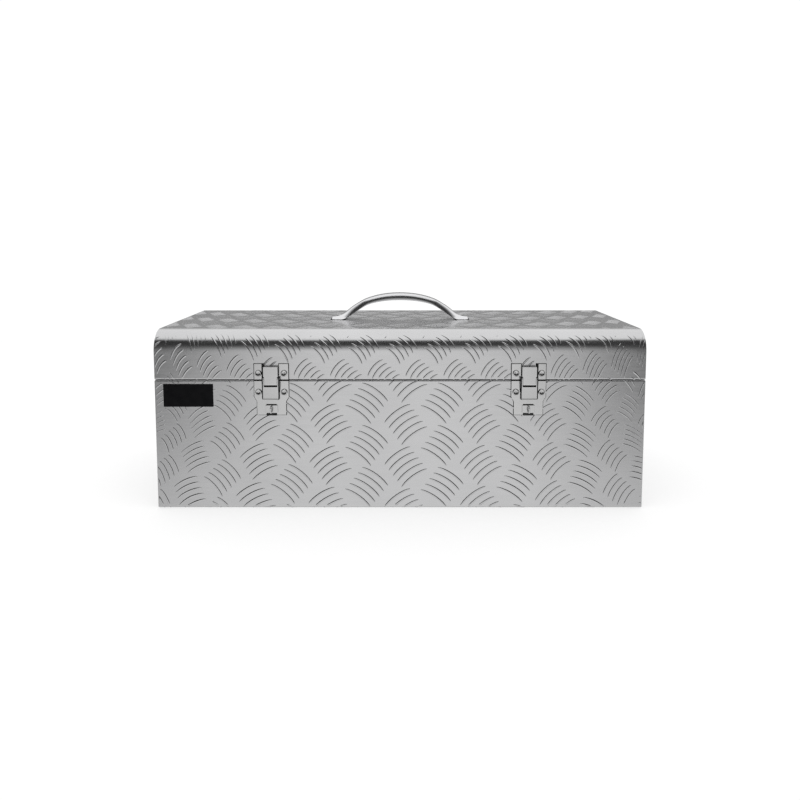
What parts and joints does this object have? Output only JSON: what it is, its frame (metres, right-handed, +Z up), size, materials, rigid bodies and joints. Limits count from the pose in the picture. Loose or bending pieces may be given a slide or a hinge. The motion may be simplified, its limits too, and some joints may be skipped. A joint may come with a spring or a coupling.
{
  "type": "tool case",
  "caption": "Rectangular aluminium tread-plate tool case with a round-edged hinged lid, toggle latches on the front and a bow handle on top.",
  "frame": {"origin": "centre of the underside, where the case stands", "axes": "+X along the case to the right as seen from the front, +Y to the back with the hinge, +Z up"},
  "size_m": [0.575, 0.2586, 0.2465],
  "materials": {
    "tread_sheet": "mill-bright tread sheet",
    "seal_foam": "matt black foam",
    "hinge_steel": "plated",
    "latch_steel": "bright plated",
    "handle_chrome": "polished",
    "plate_black": "plain black"
  },
  "bodies": {
    "base": {"base_wrap": "tread_sheet", "base_end_left": "tread_sheet", "base_end_right": "tread_sheet", "hinge_base_leaf": "hinge_steel", "hinge_pin": "hinge_steel", "latch_plate_left": "latch_steel", "lever_pivots_left": "latch_steel", "padlock_eye_left": "latch_steel", "latch_plate_right": "latch_steel", "lever_pivots_right": "latch_steel", "padlock_eye_right": "latch_steel", "nameplate": "plate_black"},
    "lid": {"lid_wrap": "tread_sheet", "lid_end_left": "tread_sheet", "lid_end_right": "tread_sheet", "lid_seal": "seal_foam", "hinge_lid_leaf": "hinge_steel", "handle": "handle_chrome", "keeper_left": "latch_steel", "keeper_right": "latch_steel"},
    "lever_left": {"lever_left": "latch_steel", "claw_pin_left": "latch_steel"},
    "claw_left": {"claw_left": "latch_steel"},
    "lever_right": {"lever_right": "latch_steel", "claw_pin_right": "latch_steel"},
    "claw_right": {"claw_right": "latch_steel"}
  },
  "joints": [
    {"name": "lid_hinge", "type": "hinge", "parent": "base", "child": "lid", "pos_m": [0, 0.125, 0.1537], "axis": [-1, 0, 0], "range_deg": [0, 180]},
    {"name": "lever_left_pivot", "type": "hinge", "parent": "base", "child": "lever_left", "pos_m": [-0.1505, -0.1275, 0.1555], "axis": [-1, 0, 0], "range_deg": [0, 95]},
    {"name": "claw_left_pivot", "type": "hinge", "parent": "lever_left", "child": "claw_left", "pos_m": [-0.1505, -0.1269, 0.1503], "axis": [1, 0, 0], "range_deg": [0, 112]},
    {"name": "lever_right_pivot", "type": "hinge", "parent": "base", "child": "lever_right", "pos_m": [0.1505, -0.1275, 0.1555], "axis": [-1, 0, 0], "range_deg": [0, 95]},
    {"name": "claw_right_pivot", "type": "hinge", "parent": "lever_right", "child": "claw_right", "pos_m": [0.1505, -0.1269, 0.1503], "axis": [1, 0, 0], "range_deg": [0, 112]}
  ],
  "couplings": [
    {"joint": "claw_left_pivot", "follows": "lever_left_pivot", "ratio": 1.15},
    {"joint": "claw_right_pivot", "follows": "lever_right_pivot", "ratio": 1.15}
  ]
}
